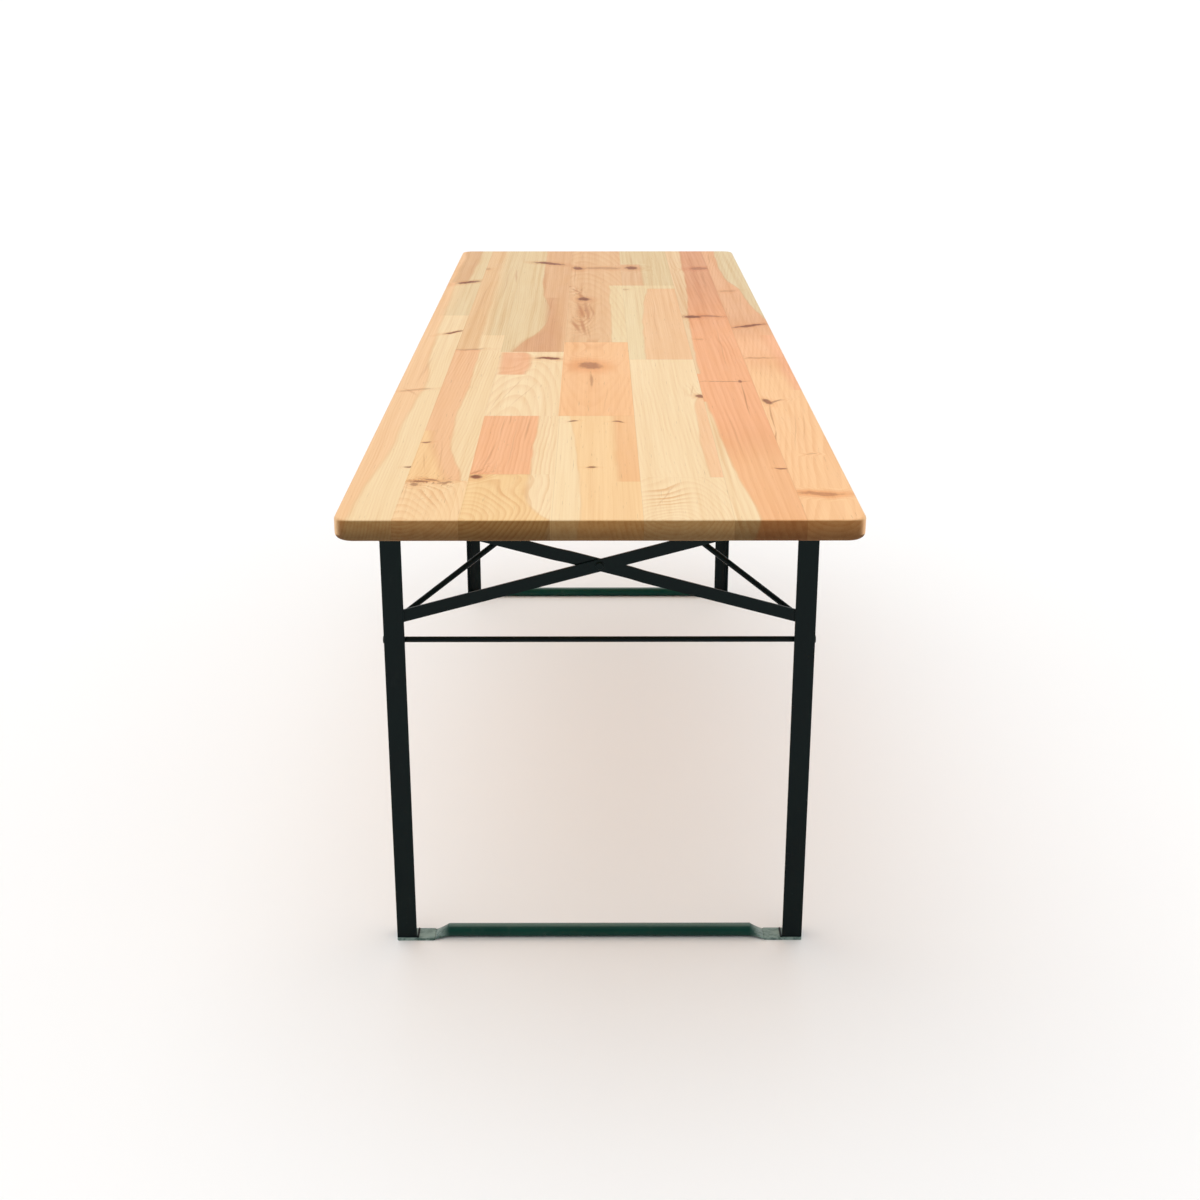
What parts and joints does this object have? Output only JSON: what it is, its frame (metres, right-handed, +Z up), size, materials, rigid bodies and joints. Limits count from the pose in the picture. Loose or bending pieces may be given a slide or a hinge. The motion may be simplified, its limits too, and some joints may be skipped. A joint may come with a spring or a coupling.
{
  "type": "folding picnic table",
  "caption": "Long folding beer-garden table: glued pine top on two folding green steel leg frames, each held open by crossed bracing and a pair of hinged struts.",
  "frame": {"origin": "middle of the table's footprint, on the floor", "axes": "+X across the table, +Y along it, +Z up from the floor to the top"},
  "size_m": [0.65, 2.2, 0.77],
  "materials": {
    "top_wood": "satin lacquer over pine",
    "batten_wood": "planed pine, thin lacquer",
    "green_steel": "semi-gloss dark green powder coat",
    "zinc_steel": "zinc plated",
    "spring_steel": "blued spring steel"
  },
  "bodies": {
    "tabletop": {"board_1": "top_wood", "board_2": "top_wood", "board_3": "top_wood", "board_4": "top_wood", "board_5": "top_wood", "board_6": "top_wood", "board_7": "top_wood", "batten_front": "batten_wood", "batten_middle": "batten_wood", "batten_rear": "batten_wood", "batten_screws": "zinc_steel", "bracket_screws": "zinc_steel", "fitting_screws": "zinc_steel", "hinge_washers": "zinc_steel", "rod_caps": "zinc_steel", "hinge_bracket_front_left": "green_steel", "hinge_bracket_front_right": "green_steel", "hinge_rod_front": "zinc_steel", "keeper_front": "zinc_steel", "latch_base_front": "spring_steel", "hinge_bracket_rear_left": "green_steel", "hinge_bracket_rear_right": "green_steel", "hinge_rod_rear": "zinc_steel", "keeper_rear": "zinc_steel", "latch_base_rear": "spring_steel"},
    "leg_front": {"upright_front_left": "green_steel", "upright_front_right": "green_steel", "crossbar_front": "green_steel", "foot_bar_front": "green_steel", "brace_bar_front_a": "green_steel", "brace_bar_front_b": "green_steel", "brace_rivet_front": "green_steel", "strut_collars_front": "zinc_steel"},
    "strut_front": {"strut_front_left": "green_steel", "strut_front_right": "green_steel", "strut_pin_front": "zinc_steel"},
    "latch_front": {"latch_tongue_front": "spring_steel"},
    "leg_rear": {"upright_rear_left": "green_steel", "upright_rear_right": "green_steel", "crossbar_rear": "green_steel", "foot_bar_rear": "green_steel", "brace_bar_rear_a": "green_steel", "brace_bar_rear_b": "green_steel", "brace_rivet_rear": "green_steel", "strut_collars_rear": "zinc_steel"},
    "strut_rear": {"strut_rear_left": "green_steel", "strut_rear_right": "green_steel", "strut_pin_rear": "zinc_steel"},
    "latch_rear": {"latch_tongue_rear": "spring_steel"}
  },
  "joints": [
    {"name": "leg_front_fold", "type": "hinge", "parent": "tabletop", "child": "leg_front", "pos_m": [0, -0.772, 0.722], "axis": [1, 0, 0], "range_deg": [0, 90]},
    {"name": "strut_front_fold", "type": "hinge", "parent": "leg_front", "child": "strut_front", "pos_m": [0, -0.772, 0.4885], "axis": [1, 0, 0], "range_deg": [-156.5, 0]},
    {"name": "latch_front_press", "type": "hinge", "parent": "tabletop", "child": "latch_front", "pos_m": [0, -0.6117, 0.7409], "axis": [-1, 0, 0], "range_deg": [0, 6.5], "stiffness_Nm_per_rad": 6},
    {"name": "leg_rear_fold", "type": "hinge", "parent": "tabletop", "child": "leg_rear", "pos_m": [0, 0.772, 0.722], "axis": [-1, 0, 0], "range_deg": [0, 90]},
    {"name": "strut_rear_fold", "type": "hinge", "parent": "leg_rear", "child": "strut_rear", "pos_m": [0, 0.772, 0.4885], "axis": [-1, 0, 0], "range_deg": [-156.5, 0]},
    {"name": "latch_rear_press", "type": "hinge", "parent": "tabletop", "child": "latch_rear", "pos_m": [0, 0.6117, 0.7409], "axis": [1, 0, 0], "range_deg": [0, 6.5], "stiffness_Nm_per_rad": 6}
  ],
  "couplings": [
    {"joint": "strut_front_fold", "follows": "leg_front_fold", "ratio": -1.7349},
    {"joint": "strut_rear_fold", "follows": "leg_rear_fold", "ratio": -1.7349}
  ]
}
